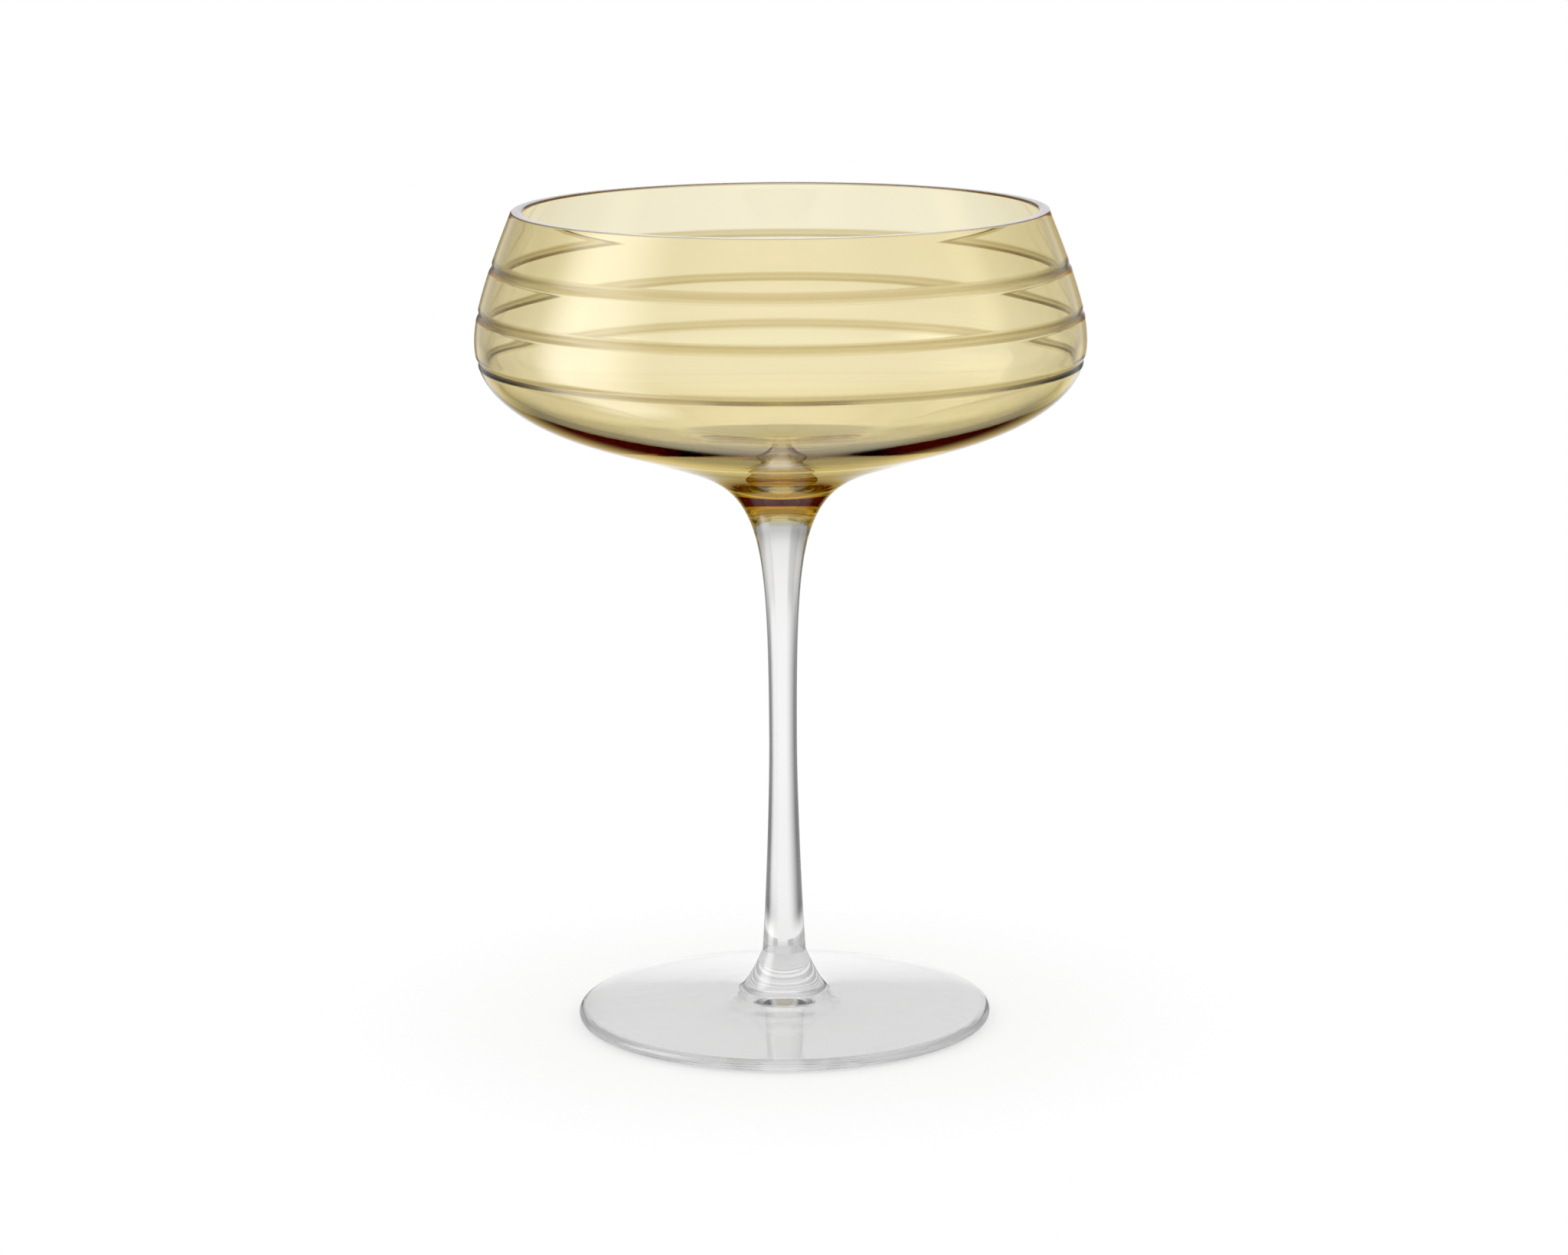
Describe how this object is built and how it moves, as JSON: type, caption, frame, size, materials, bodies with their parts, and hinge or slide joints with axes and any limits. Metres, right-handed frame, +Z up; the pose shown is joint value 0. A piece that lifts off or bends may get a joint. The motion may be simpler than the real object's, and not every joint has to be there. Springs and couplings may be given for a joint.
{
  "type": "champagne coupe",
  "caption": "Stemmed champagne coupe: a wide amber glass bowl ringed by cut grooves on a slim clear stem and a clear round foot.",
  "frame": {"origin": "under the middle of the foot, on the table", "axes": "+Z up along the stem's axis; the glass is round about it, so X and Y are alike"},
  "size_m": [0.11, 0.11, 0.149],
  "materials": {
    "amber_glass": "polished, tinted through",
    "clear_glass": "polished"
  },
  "bodies": {
    "root": {"bowl": "amber_glass", "stem": "clear_glass", "foot": "clear_glass"}
  },
  "joints": []
}
